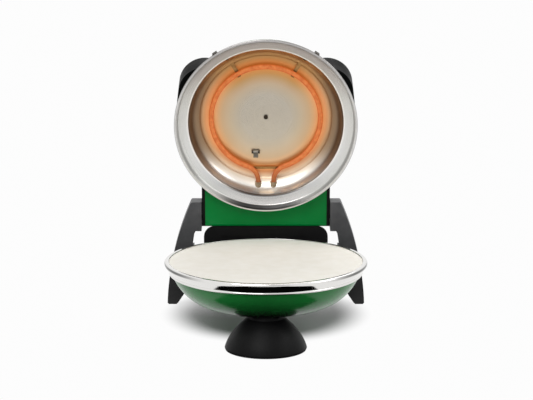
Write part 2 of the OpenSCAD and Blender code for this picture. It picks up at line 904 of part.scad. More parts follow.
module hinge_box() {
    color(green) in_lid() difference() {
        union() {
            side_plate(sheet(wrap_path, sheet_t), -wrap_x, wrap_x);
            both_sides() at_lugs() translate([wrap_x - lug_t, -lug_w / 2, -lug_h / 2])
                cube([lug_t, lug_w, lug_h]);
        }
        dome_space(0);
        both_sides() at_lugs() rod_x(wrap_x - lug_t - 1, wrap_x + 1, small_screw_r);
    }
}

module end_cap() {
    difference() {
        union() {
            side_plate(cap_outline, wrap_x, wrap_x + cap_t);
            translate([0, hinge_y, axis_h]) rod_x(pin_inner_x - 2, wrap_x + 1, bush_seat_r);
        }
        dome_space(0);
        translate([0, hinge_y, axis_h]) rod_x(0, far, bush_r);
        at_lugs() {
            rod_x(wrap_x - 1, far, small_screw_r + 0.2);
            rod_x(wrap_x + cap_t - cap_screw_head_h, far, cap_screw_head_r + 0.2);
        }
    }
}

module left_end_cap() {
    color(black) in_lid() mirror([1, 0, 0]) end_cap();
}

module right_end_cap() {
    color(black) in_lid() end_cap();
}

module end_cap_screws() {
    color(steel) in_lid() both_sides() at_lugs() {
        rod_x(wrap_x - lug_t - 1, wrap_x + cap_t - 1, small_screw_r);
        rod_x(wrap_x + cap_t - cap_screw_head_h, wrap_x + cap_t, cap_screw_head_r);
    }
}

module hinge_bushes() {
    color(ceramic) in_lid() both_sides() translate([0, hinge_y, axis_h]) difference() {
        rod_x(pin_inner_x - 2, wrap_x + cap_t, bush_r);
        rod_x(0, far, pin_r + running_fit);
    }
}

// Wires from the hinge box to the heater's pins and round to both controls
module lid_wiring() {
    pin_low = upper_heater_h - heater_pin_r;
    pin_y = upper_heater_end_y + heater_pin_l - 1.5;
    rise = 66;
    wire_r = 1.5;
    lead_end_r = 2.5;
    end = [wire_ring_r * cos(wire_turn), -wire_ring_r * sin(wire_turn)];
    way = unit(end - [housing_x, -housing_y]);
    stop = [housing_x, -housing_y] + way * body_r;
    color(wire_red) in_lid() {
        translate([0, 0, wire_ring_z]) rotate([0, 0, -wire_turn])
            rotate_extrude(angle = 180 + 2 * wire_turn)
                translate([wire_ring_r, 0]) circle(r = wire_r, $fn = 24);
        wire([[0, hinge_y - 8, wire_ring_z + 2], [0, bead_r, wire_ring_z],
            [0, wire_ring_r, wire_ring_z]], lead_end_r);
        both_sides() {
            translate([heater_end_x, pin_y, wire_ring_z])
                cylinder(h = pin_low - wire_ring_z, r = wire_r, $fn = 24);
            wire([[end[0], end[1], wire_ring_z], [end[0], end[1], rise],
                [stop[0], stop[1], rise]], wire_r - 0.05);
        }
    }
}

// Control housings on the dome: a round body with a smaller lobe behind
housing_low = 24;
housing_wall = 2.5;
housing_edge = 1.5;
housing_post_r = 5;
housing_screw_r = 1.9;
lobe_r = 24;
lobe_place = [124, -30];
housing_place = [housing_x, -housing_y];
body_r = 18;
body_low = 59.5;
body_top = housing_h - housing_wall;

// Outline round two circles and the lines that touch both
function round_both(c1, r1, c2, r2) =
    let (gap = c2 - c1, way = atan2(gap[1], gap[0]), lean = acos((r1 - r2) / norm(gap)))
    concat(arc(c2, r2, way - lean, way + lean, 16), arc(c1, r1, way + lean, way - lean + 360, 48));

module housing_form(inset, low, top) {
    translate([0, 0, low]) linear_extrude(top - low)
        polygon(round_both(housing_place, housing_r - inset, lobe_place, lobe_r - inset));
}

module housing() {
    difference() {
        union() {
            housing_form(housing_edge, housing_low, housing_h);
            housing_form(0, housing_low, housing_h - housing_edge);
        }
        difference() {
            housing_form(housing_wall, housing_low + housing_wall, body_top);
            for (p = housing_screw_places) translate([p[0], p[1], 0])
                cylinder(h = far, r = housing_post_r);
        }
        dome_space(0);
        for (p = housing_screw_places) translate([p[0], p[1], 0])
            cylinder(h = body_top - 2, r = housing_screw_r);
        translate(housing_place) cylinder(h = far, r = shaft_r + running_fit);
        rotate([0, 0, 270 + grip_screw_turn]) translate([grip_mid_r, 0, 0])
            cylinder(h = far, r = screw_hole_r);
    }
}

module timer_housing() {
    color(black) in_lid() mirror([1, 0, 0]) housing();
}

// The thermostat's housing also holds the indicator lens
lens_place = [126, -21];
lens_r = 3.5;

module thermostat_housing() {
    color(black) in_lid() difference() {
        housing();
        translate([lens_place[0], lens_place[1], body_top - 1]) cylinder(h = far, r = lens_r);
    }
}

module housing_screws() {
    color(steel) in_lid() both_sides() {
        intersection() {
            for (p = housing_screw_places) translate(p) cylinder(h = far, r = 3.5);
            dome_space(sheet_t);
        }
        for (p = housing_screw_places) translate(p)
            cylinder(h = body_top - 6 - p[2], r = housing_screw_r);
    }
}

// Grip: an arc that bridges the two housings, on two short feet
grip_mid_r = 108.5;
grip_w = 17;
grip_low = 78;
grip_top = 90;
grip_round = 4;
grip_turn = 48;
grip_foot_turn = 38;
grip_screw_turn = 43;
grip_foot_w = 12;
grip_screw_depth = 4;

module grip_arc(turn_from, turn_to, low, top, w, corner) {
    in_r = grip_mid_r - w / 2 + corner;
    out_r = grip_mid_r + w / 2 - corner;
    rotate([0, 0, 270 + turn_from]) rotate_extrude(angle = turn_to - turn_from) polygon(concat(
        arc([in_r, low + corner], corner, 180, 270, 5), arc([out_r, low + corner], corner, 270, 360, 5),
        arc([out_r, top - corner], corner, 0, 90, 5), arc([in_r, top - corner], corner, 90, 180, 5)));
}

module handle_grip() {
    color(black) in_lid() difference() {
        union() {
            grip_arc(-grip_turn, grip_turn, grip_low, grip_top, grip_w, grip_round);
            both_sides()
                grip_arc(grip_foot_turn, grip_turn - 0.5, housing_h, grip_low + 5, grip_foot_w,
                    0.2);
        }
        both_sides() rotate([0, 0, 270 + grip_screw_turn]) translate([grip_mid_r, 0, 0])
            cylinder(h = grip_top - grip_screw_depth, r = housing_screw_r);
    }
}

module grip_screws() {
    color(steel) in_lid() both_sides() rotate([0, 0, 270 + grip_screw_turn])
        translate([grip_mid_r, 0, 0]) {
            translate([0, 0, body_top - 2]) cylinder(h = 2, r = 3);
            translate([0, 0, body_top - 1])
                cylinder(h = grip_top - grip_screw_depth - body_top, r = housing_screw_r);
        }
}

// Timer on the left and thermostat on the right, each under its housing's top
shaft_r = 3;
shaft_low = 62;
shaft_depth = 4;
dial_r = 29;
dial_t = 0.8;
knob_low = housing_h + dial_t + 0.7;
knob_skirt_h = 6;
bar_w = 9;

module at_timer() {
    in_lid() translate([-housing_x, -housing_y, 0]) children();
}

module at_thermostat() {
    in_lid() translate([housing_x, -housing_y, 0]) children();
}

module shaft_bore() {
    translate([0, 0, shaft_low - closing_gap]) cylinder(h = far, r = shaft_r + running_fit);
}

module timer_body() {
    color(bright_steel) at_timer() difference() {
        translate([0, 0, body_low]) cylinder(h = body_top - body_low, r = body_r);
        shaft_bore();
    }
}

module thermostat_body() {
    step_h = 3;
    color(ceramic) at_thermostat() difference() {
        union() {
            translate([0, 0, body_low]) cylinder(h = body_top - body_low - step_h, r = body_r);
            translate([0, 0, body_top - step_h]) cylinder(h = step_h, r = body_r - step_h);
        }
        shaft_bore();
    }
}

module dial() {
    difference() {
        translate([0, 0, housing_h]) cylinder(h = dial_t, r = dial_r);
        cylinder(h = far, r = shaft_r + 0.6);
    }
}

module timer_dial() {
    color(bright_steel) at_timer() dial();
}

module thermostat_dial() {
    color(bright_steel) at_thermostat() dial();
}

module indicator_lens() {
    color(glow) in_lid() translate([lens_place[0], lens_place[1], 0]) {
        translate([0, 0, body_top - 1]) cylinder(h = 5.5, r = lens_r);
        translate([0, 0, body_top - 2]) cylinder(h = 2, r = lens_r + 1);
    }
}

module shaft() {
    translate([0, 0, shaft_low])
        cylinder(h = knob_low + knob_h - shaft_depth - shaft_low, r = shaft_r);
}

// A skirt with a finger bar across it, bored for the shaft
module knob() {
    difference() {
        translate([0, 0, knob_low]) union() {
            revolve([[0, 0], [knob_r, 0], [knob_r, knob_skirt_h / 2],
                [knob_r - 1.5, knob_skirt_h - 1], [0, knob_skirt_h]]);
            intersection() {
                revolve([[0, knob_skirt_h - 1], [knob_r - 1.5, knob_skirt_h - 1],
                    [knob_r - 3.5, knob_h - 2], [knob_r - 5.5, knob_h], [0, knob_h]]);
                translate([-bar_w / 2, -knob_r, 0]) cube([bar_w, 2 * knob_r, knob_h]);
            }
        }
        cylinder(h = knob_low + knob_h - shaft_depth, r = shaft_r);
    }
}

module timer_shaft() {
    color(steel) at_timer() shaft();
}

module timer_knob() {
    color(black) at_timer() knob();
}

module thermostat_shaft() {
    color(steel) at_thermostat() shaft();
}

module thermostat_knob() {
    color(black) at_thermostat() knob();
}

bowl_shell();
base_ring();
baking_stone();
reflector_pan();
pan_rivets();
lower_heater();
lower_heater_clips();
lower_terminals();
terminal_block();
base_wiring();
front_foot();
foot_pad();
foot_screws();
left_leg();
right_leg();
leg_pads();
rear_bridge();
leg_screws();
bridge_screws();
stop_bumpers();
hinge_pins();
friction_washers();
cord_gland();
lid_shell();
lid_ring();
ring_clips();
lid_reflector();
reflector_rivets();
lid_insulation();
upper_heater();
heater_strap();
heater_brackets();
upper_terminals();
ceiling_screw();
thermostat_bulb();
bulb_bracket();
hinge_box();
left_end_cap();
right_end_cap();
end_cap_screws();
hinge_bushes();
lid_wiring();
timer_housing();
thermostat_housing();
housing_screws();
handle_grip();
grip_screws();
timer_body();
thermostat_body();
timer_dial();
thermostat_dial();
indicator_lens();
timer_shaft();
timer_knob();
thermostat_shaft();
thermostat_knob();
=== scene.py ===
import math

import bmesh
import bpy
from mathutils import Matrix, Vector


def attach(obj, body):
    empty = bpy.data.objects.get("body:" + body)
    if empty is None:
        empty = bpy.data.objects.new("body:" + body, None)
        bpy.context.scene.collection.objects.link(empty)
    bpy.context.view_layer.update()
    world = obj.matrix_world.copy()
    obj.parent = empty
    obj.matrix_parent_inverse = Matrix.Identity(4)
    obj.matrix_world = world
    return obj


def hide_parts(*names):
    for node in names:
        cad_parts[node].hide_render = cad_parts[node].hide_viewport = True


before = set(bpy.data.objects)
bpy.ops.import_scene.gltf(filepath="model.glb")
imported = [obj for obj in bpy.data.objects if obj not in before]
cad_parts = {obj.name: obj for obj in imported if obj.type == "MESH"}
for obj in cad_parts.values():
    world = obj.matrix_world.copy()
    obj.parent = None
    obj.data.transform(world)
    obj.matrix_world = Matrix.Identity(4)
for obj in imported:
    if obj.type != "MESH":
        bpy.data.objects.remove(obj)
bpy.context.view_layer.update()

# Studio: a pale table top that runs into a pale backdrop, under soft lamps, as in a
# catalogue shoot. A black card lies under the front of the bowl and shows only in polished
# surfaces. The camera stands almost four metres off and looks a little down.
def plain_sheet(name, corners):
    mesh = bpy.data.meshes.new(name)
    mesh.from_pydata(corners, [], [range(len(corners))])
    sheet = bpy.data.objects.new(name, mesh)
    bpy.context.collection.objects.link(sheet)
    return sheet


def link(material, output, target):
    material.node_tree.links.new(output, target)


def add_node(material, kind, **inputs):
    """Adds a shader node and sets its sockets by name, with _ for a space."""
    node = material.node_tree.nodes.new("ShaderNode" + kind)
    for key, value in inputs.items():
        node.inputs[key.replace("_", " ")].default_value = value
    return node


def maths(material, operation, *values):
    """One step of arithmetic on numbers or on sockets of other nodes."""
    step = add_node(material, "Math")
    step.operation = operation
    for socket, value in zip(step.inputs, values):
        if isinstance(value, bpy.types.NodeSocket):
            link(material, value, socket)
        else:
            socket.default_value = value
    return step.outputs[0]


table = plain_sheet("table_top", [(-9, -9, 0), (9, -9, 0), (9, 9, 0), (-9, 9, 0)])
table_paper = bpy.data.materials.new("table_paper")
table_paper.use_nodes = True
paper = table_paper.node_tree.nodes["Principled BSDF"]
paper.inputs["Base Color"].default_value = (0.55, 0.545, 0.55, 1)
paper.inputs["Roughness"].default_value = 0.9
paper.inputs["Specular IOR Level"].default_value = 0.1
# Painted shadow: the table is grey paper, shaded by the lamps, only within an oval under the
# object. Beyond the oval it glows plain white to the camera and in reflections, which ends the
# shadow there.
backdrop = add_node(table_paper, "Emission", Color=(1, 1, 1, 1), Strength=0.98)
place = add_node(table_paper, "TexCoord")
painted_shadow_oval = add_node(table_paper, "Mapping", Location=(0, -0.095, 0), Scale=(1, 0.9, 1))
reach = add_node(table_paper, "VectorMath")
reach.operation = "LENGTH"
painted_shadow_fade = add_node(table_paper, "MapRange", From_Min=0.113, From_Max=0.182)
painted_shadow_fade.interpolation_type = "SMOOTHSTEP"
ray = add_node(table_paper, "LightPath")
both = add_node(table_paper, "MixShader")
link(table_paper, place.outputs["Object"], painted_shadow_oval.inputs["Vector"])
link(table_paper, painted_shadow_oval.outputs["Vector"], reach.inputs[0])
link(table_paper, reach.outputs["Value"], painted_shadow_fade.inputs["Value"])
pale_rays = maths(table_paper, "MAXIMUM", ray.outputs["Is Camera Ray"],
                  ray.outputs["Is Glossy Ray"])
link(table_paper, maths(table_paper, "MULTIPLY", painted_shadow_fade.outputs["Result"], pale_rays),
     both.inputs["Fac"])
link(table_paper, paper.outputs["BSDF"], both.inputs[1])
link(table_paper, backdrop.outputs["Emission"], both.inputs[2])
link(table_paper, both.outputs["Shader"],
     table_paper.node_tree.nodes["Material Output"].inputs["Surface"])
table.data.materials.append(table_paper)

card_x, card_front, card_rear, card_h = 0.14, -0.46, -0.13, 0.0004
card = plain_sheet("black_card", [
    (-card_x, card_front, card_h), (card_x, card_front, card_h),
    (card_x, card_rear, card_h), (-card_x, card_rear, card_h)])
card_paper = bpy.data.materials.new("card_paper")
card_paper.use_nodes = True
card_shader = card_paper.node_tree.nodes["Principled BSDF"]
card_shader.inputs["Base Color"].default_value = (0.002, 0.002, 0.002, 1)
card_shader.inputs["Specular IOR Level"].default_value = 0.0
card.data.materials.append(card_paper)
card.visible_camera = False
card.visible_diffuse = False
card.visible_shadow = False

world = bpy.data.worlds.new("studio")
bpy.context.scene.world = world
world.use_nodes = True
air = world.node_tree.nodes["Background"]
air.inputs["Color"].default_value = (1, 1, 1, 1)
seen = add_node(world, "LightPath")
toward = add_node(world, "TexCoord")
parts = add_node(world, "SeparateXYZ")
dim_end = add_node(world, "MapRange", From_Min=-0.97, From_Max=-0.8, To_Min=0.12, To_Max=1.0)
bounced = add_node(world, "MixRGB")
link(world, toward.outputs["Generated"], parts.inputs["Vector"])
link(world, parts.outputs["Y"], dim_end.inputs["Value"])
mirrored = maths(world, "MULTIPLY", dim_end.outputs["Result"], seen.outputs["Is Glossy Ray"])
shown = maths(world, "MAXIMUM", mirrored, seen.outputs["Is Camera Ray"])
room_light = 0.42
link(world, seen.outputs["Is Glossy Ray"], bounced.inputs["Fac"])
link(world, maths(world, "MAXIMUM", shown, room_light), bounced.inputs["Color1"])
link(world, mirrored, bounced.inputs["Color2"])
link(world, bounced.outputs["Color"], air.inputs["Strength"])

aim = Vector((0, 0, 0.2))
for name, spot, size, power in (
        ("lamp_front", (-0.9, -2.2, 2.6), 1.8, 55),
        ("lamp_right", (2.4, -0.6, 1.9), 1.4, 16),
        ("lamp_back", (0.3, 2.2, 2.4), 1.8, 22)):
    light = bpy.data.lights.new(name, "AREA")
    light.size = size
    light.energy = power
    lamp = bpy.data.objects.new(name, light)
    lamp.location = spot
    lamp.rotation_euler = (aim - Vector(spot)).to_track_quat("-Z", "Y").to_euler()
    bpy.context.collection.objects.link(lamp)

lens = bpy.data.cameras.new("camera")
lens.sensor_width = 36
lens.lens = 164.2
lens.clip_start = 0.1
lens.clip_end = 60
camera = bpy.data.objects.new("camera", lens)
camera.location = (0.0011, -3.8865, 1.0375)
camera_dip = 11.896
camera.rotation_euler = (math.radians(90 - camera_dip), 0, 0)
bpy.context.collection.objects.link(camera)
bpy.context.scene.camera = camera
bpy.context.scene.view_settings.view_transform = "Standard"

# Bowl: pressed from one sheet of steel and enamelled deep green, with a flange turned in
# at its top, where the pan's rim and the stone lie on it.
mm = 0.001
bowl_y, rim_h = -36.5, 126.5
base_place = Matrix.Scale(mm, 4) @ Matrix.Translation((0, bowl_y, rim_h))
sheet_t = 1.2
crease = math.radians(32)
nil = 1e-6


def arc(centre, r, first, last, steps):
    """Points of an arc, in millimetres, from the angle first to the angle last in degrees."""
    angles = [math.radians(first + (last - first) * i / steps) for i in range(steps + 1)]
    return [(centre[0] + r * math.cos(a), centre[1] + r * math.sin(a)) for a in angles]


def curve(a, b, c, steps):
    """Points of a smooth curve from a to c that is drawn towards b."""
    points = []
    for i in range(steps + 1):
        t = i / steps
        points.append(tuple(a[k] * (1 - t) ** 2 + b[k] * 2 * t * (1 - t) + c[k] * t * t
                            for k in (0, 1)))
    return points


def sheet_edge(path, thickness):
    """Outline of a sheet that follows a path, with its two free edges rounded."""
    p = [Vector(q) for i, q in enumerate(path) if not i or math.dist(q, path[i - 1]) > nil]
    sides = ([], [])
    for i, q in enumerate(p):
        before = (p[i] - p[i - 1]).normalized() if i else (p[1] - p[0]).normalized()
        after = (p[i + 1] - p[i]).normalized() if i < len(p) - 1 else before
        way = Vector((-(before + after).y, (before + after).x)).normalized()
        way /= way.dot(Vector((-before.y, before.x)))
        for side, sign in zip(sides, (0.5, -0.5)):
            side.append(tuple(q + way * thickness * sign))
    half = thickness / 2
    noses = []
    for last, inner in ((-1, -2), (0, 1)):
        at = p[last]
        way = (at - p[inner]).normalized()
        start = math.atan2(way.y, way.x)
        nose = []
        if at.x > nil:
            for side in sides:
                side[last] = tuple(Vector(side[last]) - way * half)
            nose = [(at.x - way.x * half + half * math.cos(start + turn),
                     at.y - way.y * half + half * math.sin(start + turn))
                    for turn in (1.05, 0.55, 0, -0.55, -1.05)]
        noses.append(nose)
    return sides[0] + noses[0] + sides[1][::-1] + noses[1]


def spun(outline, sides=288):
    """Spins an outline of (radius, height) points about the Z axis. Its UV map counts
    turns in U and the way along the outline, in metres, in V."""
    bm = bmesh.new()
    uv = bm.loops.layers.uv.new("turned")
    rings, way = [], [0.0]
    for i, (r, z) in enumerate(outline):
        if r < nil:
            rings.append([bm.verts.new((0, 0, z))] * sides)
        else:
            turns = [math.tau * k / sides for k in range(sides)]
            rings.append([bm.verts.new((r * math.cos(t), r * math.sin(t), z)) for t in turns])
        if i:
            way.append(way[-1] + math.dist(outline[i], outline[i - 1]) * mm)
    for i in range(len(outline)):
        j = (i + 1) % len(outline)
        if outline[i][0] < nil and outline[j][0] < nil:
            continue
        v_next = way[j] if j else way[-1] + math.dist(outline[i], outline[j]) * mm
        for k in range(sides):
            m = (k + 1) % sides
            around = [(rings[i][k], k, way[i]), (rings[i][m], k + 1, way[i]),
                      (rings[j][m], k + 1, v_next), (rings[j][k], k, v_next)]
            corners = []
            for corner in around:
                if not any(corner[0] is c[0] for c in corners):
                    corners.append(corner)
            face = bm.faces.new([c[0] for c in corners])
            for loop, c in zip(face.loops, corners):
                loop[uv].uv = (c[1] / sides, c[2])
    return bm


def made(name, bm, place, finish, body, stands_for=()):
    """Turns a mesh, built in millimetres, into a piece that rides on a body."""
    bmesh.ops.recalc_face_normals(bm, faces=bm.faces)
    bm.transform(place)
    mesh = bpy.data.meshes.new(name)
    bm.to_mesh(mesh)
    bm.free()
    mesh.shade_smooth()
    mesh.set_sharp_from_angle(angle=crease)
    mesh.materials.append(finish)
    piece = bpy.data.objects.new(name, mesh)
    bpy.context.collection.objects.link(piece)
    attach(piece, body)
    if stands_for:
        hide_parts(*stands_for)


def finish_of(name, colour, roughness, metallic=0.0, **sockets):
    """A new material: colour in linear light, and any other sockets of the shader."""
    material = bpy.data.materials.new(name)
    material.use_nodes = True
    shader = material.node_tree.nodes["Principled BSDF"]
    shader.inputs["Base Color"].default_value = (*colour, 1)
    shader.inputs["Roughness"].default_value = roughness
    shader.inputs["Metallic"].default_value = metallic
    for key, value in sockets.items():
        shader.inputs[key.replace("_", " ")].default_value = value
    return material


def mottle(material, scale, detail=3.0, stretch=None, over="Object"):
    """A cloudy pattern over the surface; stretched over UV it becomes turning lines."""
    spread = add_node(material, "TexCoord")
    cloud = add_node(material, "TexNoise", Scale=scale, Detail=detail)
    if stretch:
        drawn = add_node(material, "Mapping", Scale=stretch)
        link(material, spread.outputs[over], drawn.inputs["Vector"])
        link(material, drawn.outputs["Vector"], cloud.inputs["Vector"])
    else:
        link(material, spread.outputs[over], cloud.inputs["Vector"])
    return cloud.outputs["Fac"]


def feed(material, output, socket):
    """Links an output to a socket of the material's main shader."""
    link(material, output, material.node_tree.nodes["Principled BSDF"].inputs[socket])


def shades(material, pattern, low, high):
    """Base colour that runs from low to high with a pattern."""
    ramp = add_node(material, "ValToRGB")
    for point, place, colour in zip(ramp.color_ramp.elements, (0.3, 0.7), (low, high)):
        point.position = place
        point.color = (*colour, 1)
    link(material, pattern, ramp.inputs["Fac"])
    feed(material, ramp.outputs["Color"], "Base Color")


def gloss_range(material, pattern, low, high):
    """Roughness that runs from low to high with a pattern."""
    spread = add_node(material, "MapRange", From_Min=0.3, From_Max=0.7, To_Min=low, To_Max=high)
    link(material, pattern, spread.inputs["Value"])
    feed(material, spread.outputs["Result"], "Roughness")


def relief(material, pattern, depth):
    """A fine bump; depth is its height in metres."""
    bump = add_node(material, "Bump", Strength=1.0, Distance=depth)
    link(material, pattern, bump.inputs["Height"])
    feed(material, bump.outputs["Normal"], "Normal")


def darkened(material, share, dark):
    """Draws the base colour towards a dark one by a share."""
    shader = material.node_tree.nodes["Principled BSDF"]
    blend = add_node(material, "MixRGB", Color2=(*dark, 1))
    link(material, share, blend.inputs["Fac"])
    link(material, shader.inputs["Base Color"].links[0].from_socket, blend.inputs["Color1"])
    feed(material, blend.outputs["Color"], "Base Color")


def enamel(name, low, high, shine):
    """Glossy enamel that runs a little from one shade to another."""
    material = finish_of(name, low, 0.2, Specular_IOR_Level=shine, Coat_Weight=shine / 2,
                         Coat_Roughness=0.06)
    relief(material, mottle(material, 260, 2), 0.00004)
    shades(material, mottle(material, 14), low, high)
    gloss_range(material, mottle(material, 60), 0.16, 0.26)
    return material


bowl_enamel = enamel("bowl_enamel", (0.01, 0.2, 0.034), (0.016, 0.225, 0.042), 0.24)
# Painted shade and dark reflection: the enamel is darkened round the neck of the foot.
nearness = add_node(bowl_enamel, "TexCoord")
to_foot = add_node(bowl_enamel, "VectorMath")
to_foot.operation = "DISTANCE"
to_foot.inputs[1].default_value = (0, -0.118, 0.045)
foot_painted_shade = add_node(bowl_enamel, "MapRange", From_Min=0.035, From_Max=0.115, To_Min=0.94,
                To_Max=0.0)
foot_painted_shade.interpolation_type = "SMOOTHSTEP"
link(bowl_enamel, nearness.outputs["Object"], to_foot.inputs[0])
link(bowl_enamel, to_foot.outputs["Value"], foot_painted_shade.inputs["Value"])
darkened(bowl_enamel, foot_painted_shade.outputs["Result"], (0.001, 0.004, 0.001))

side_centre, side_r, bowl_floor = (77, 6), 79.4, -73.4
bowl_side = arc(side_centre, side_r, -13.55, -90, 80)
bowl_path = [(149, -12.6)] + bowl_side + [(40, bowl_floor), (0, bowl_floor)]
made("bowl", spun(sheet_edge(bowl_path, sheet_t)), base_place, bowl_enamel, "base",
     ["bowl_shell"])

# Rim: one strip of stainless steel, rolled over the stone's edge, sloped down as a band
# and closed by a small bead against the bowl, then polished in the lathe.
rim_steel = finish_of("rim_steel", (0.76, 0.75, 0.73), 0.1, 1.0)
turning = mottle(rim_steel, 1.0, 4, (6, 5200, 1), "UV")
gloss_range(rim_steel, turning, 0.05, 0.15)
relief(rim_steel, turning, 0.00001)
band_reach = 0.16


def band_of(name, material, position, stops):
    """Colours in rings, given as (way along the outline in metres, colour)."""
    ramp = add_node(material, "ValToRGB")
    ramp.label = name
    points = ramp.color_ramp.elements
    for i, (way, colour) in enumerate(stops):
        point = points[i] if i < 2 else points.new(1.0)
        point.position = way / band_reach
        point.color = (*colour, 1)
    link(material, position, ramp.inputs["Fac"])
    return ramp.outputs["Color"]


def turned_place(material):
    """Way along a spun outline, as a share of the bands' reach, and the angle round it."""
    turned = add_node(material, "TexCoord")
    split = add_node(material, "SeparateXYZ")
    link(material, turned.outputs["UV"], split.inputs["Vector"])
    return (maths(material, "DIVIDE", split.outputs["Y"], band_reach),
            maths(material, "MULTIPLY", split.outputs["X"], math.tau))


def share_of(material, angle, wave, first, last):
    """A soft share, from 0 to 1, of the sine or of the size of the cosine of an angle."""
    swing = maths(material, wave, angle)
    if wave == "COSINE":
        swing = maths(material, "ABSOLUTE", swing)
    share = add_node(material, "MapRange", From_Min=first, From_Max=last)
    share.interpolation_type = "SMOOTHSTEP"
    link(material, swing, share.inputs["Value"])
    return share.outputs["Result"]


def mixed(material, share, first, second):
    """Colour first, or second where the share is 1."""
    mix = add_node(material, "MixRGB")
    link(material, share, mix.inputs["Fac"])
    link(material, first, mix.inputs["Color1"])
    link(material, second, mix.inputs["Color2"])
    return mix.outputs["Color"]


rim_way, rim_angle = turned_place(rim_steel)
# Painted reflection: at the sides the rolled edge is darkened in a band, for the dark beside
# the table that it mirrors.
rim_tint = band_of("rim", rim_steel, rim_way, [
    (0.0, (0.78, 0.77, 0.75)), (0.01, (0.78, 0.77, 0.75))])
rim_side_painted_reflection = band_of("rim side", rim_steel, rim_way, [
    (0.0, (0.78, 0.77, 0.75)), (0.0058, (0.74, 0.73, 0.71)), (0.007, (0.12, 0.12, 0.12)),
    (0.0098, (0.16, 0.16, 0.15)), (0.0112, (0.78, 0.77, 0.75))])
rim_side = share_of(rim_steel, rim_angle, "COSINE", 0.55, 0.9)
feed(rim_steel, mixed(rim_steel, rim_side, rim_tint, rim_side_painted_reflection), "Base Color")

rim_path = ([(157.6, -0.6)] + arc((161.98, -3), 2.4, 90, 0, 14) + [(164.38, -4.5)]
            + curve((163.6, -6.2), (160, -12), (157.2, -15.6), 8)
            + arc((156, -17.9), 1.5, 40, -90, 12) + [(151.2, -19.4)])
made("rim", spun(sheet_edge(rim_path, sheet_t)), base_place, rim_steel, "base",
     ["base_ring"])

# Stone: a round slab of pale fireclay, pressed and ground flat, held down by the rim.
fireclay = finish_of("fireclay", (0.84, 0.82, 0.74), 0.85)
shades(fireclay, mottle(fireclay, 60, 6), (0.93, 0.91, 0.83), (0.98, 0.965, 0.9))
relief(fireclay, mottle(fireclay, 900, 4), 0.0002)


def coat(material, *nodes, edge=0.0):
    """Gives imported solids, whose shape is right as it is, their finish. Edge is the
    radius, in metres, to which their corners are eased."""
    for node in nodes:
        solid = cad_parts[node]
        solid.data.materials.clear()
        solid.data.materials.append(material)
        if edge:
            eased = solid.modifiers.new("eased", "BEVEL")
            eased.width = edge
            eased.segments = 3
            eased.limit_method = "ANGLE"
            eased.angle_limit = crease
            eased.use_clamp_overlap = True


coat(fireclay, "baking_stone")

# Pan: aluminised steel under the stone, which throws the lower heater's warmth up. Four
# rivets through the bowl's flange hold it.
zinc = finish_of("zinc", (0.5, 0.5, 0.49), 0.38, 1.0)
gloss_range(zinc, mottle(zinc, 500, 4), 0.3, 0.5)
relief(zinc, mottle(zinc, 1400, 3), 0.00003)
pan_steel = finish_of("pan_steel", (0.62, 0.59, 0.54), 0.25, 1.0)
gloss_range(pan_steel, mottle(pan_steel, 80, 4), 0.2, 0.36)
coat(pan_steel, "reflector_pan")
coat(zinc, "pan_rivets")

# Lower heater: a sheathed tube in saddles riveted to the pan, with steatite collars where
# its cold ends pass the pan's wall, and red glass-sleeved wires to the terminal block.
glow = finish_of("glow", (0.13, 0.055, 0.03), 0.55, Specular_IOR_Level=0.2)


def hot_shades(name, dull, hot):
    """Colours of the glowing sheath, in patches from dull to hot."""
    heat = add_node(glow, "ValToRGB")
    heat.label = name
    for point, place, colour in zip(heat.color_ramp.elements, (0.35, 0.65), (dull, hot)):
        point.position = place
        point.color = (*colour, 1)
    link(glow, patches, heat.inputs["Fac"])
    return heat.outputs["Color"]


patches = mottle(glow, 160, 4)
# Painted highlight: the glow is paler in the middle of the tube, where it faces the view, and a
# deeper orange at its sides.
facing = add_node(glow, "LayerWeight", Blend=0.5)
rim_share = add_node(glow, "MapRange", From_Min=0.22, From_Max=0.55)
rim_share.interpolation_type = "SMOOTHSTEP"
across = add_node(glow, "MixRGB")
link(glow, facing.outputs["Facing"], rim_share.inputs["Value"])
link(glow, rim_share.outputs["Result"], across.inputs["Fac"])
link(glow, hot_shades("middle", (0.56, 0.12, 0.02), (0.72, 0.21, 0.05)),
     across.inputs["Color1"])
link(glow, hot_shades("sides", (0.5, 0.065, 0.006), (0.66, 0.1, 0.012)),
     across.inputs["Color2"])
feed(glow, across.outputs["Color"], "Emission Color")
# The tube is cooler at its ends, below, and its glow is faint in what mirrors it.
ends = add_node(glow, "TexCoord")
height = add_node(glow, "SeparateXYZ")
cooler = add_node(glow, "MapRange", From_Min=0.205, From_Max=0.25, To_Min=0.05, To_Max=0.9)
bounce = add_node(glow, "LightPath")
unseen = add_node(glow, "MapRange", To_Min=1.0, To_Max=0.12)
link(glow, ends.outputs["Object"], height.inputs["Vector"])
link(glow, height.outputs["Z"], cooler.inputs["Value"])
link(glow, bounce.outputs["Is Glossy Ray"], unseen.inputs["Value"])
feed(glow, maths(glow, "MULTIPLY", cooler.outputs["Result"], unseen.outputs["Result"]),
     "Emission Strength")
relief(glow, mottle(glow, 700, 4), 0.0001)
steatite = finish_of("steatite", (0.74, 0.72, 0.66), 0.6)
shades(steatite, mottle(steatite, 120, 4), (0.68, 0.66, 0.6), (0.8, 0.78, 0.73))
relief(steatite, mottle(steatite, 1500, 3), 0.00006)
sleeve = finish_of("sleeve", (0.35, 0.035, 0.02), 0.8)
relief(sleeve, mottle(sleeve, 2500, 2), 0.0003)
coat(glow, "lower_heater")
coat(zinc, "lower_heater_clips")
coat(steatite, "lower_terminals", "terminal_block")
coat(sleeve, "base_wiring")

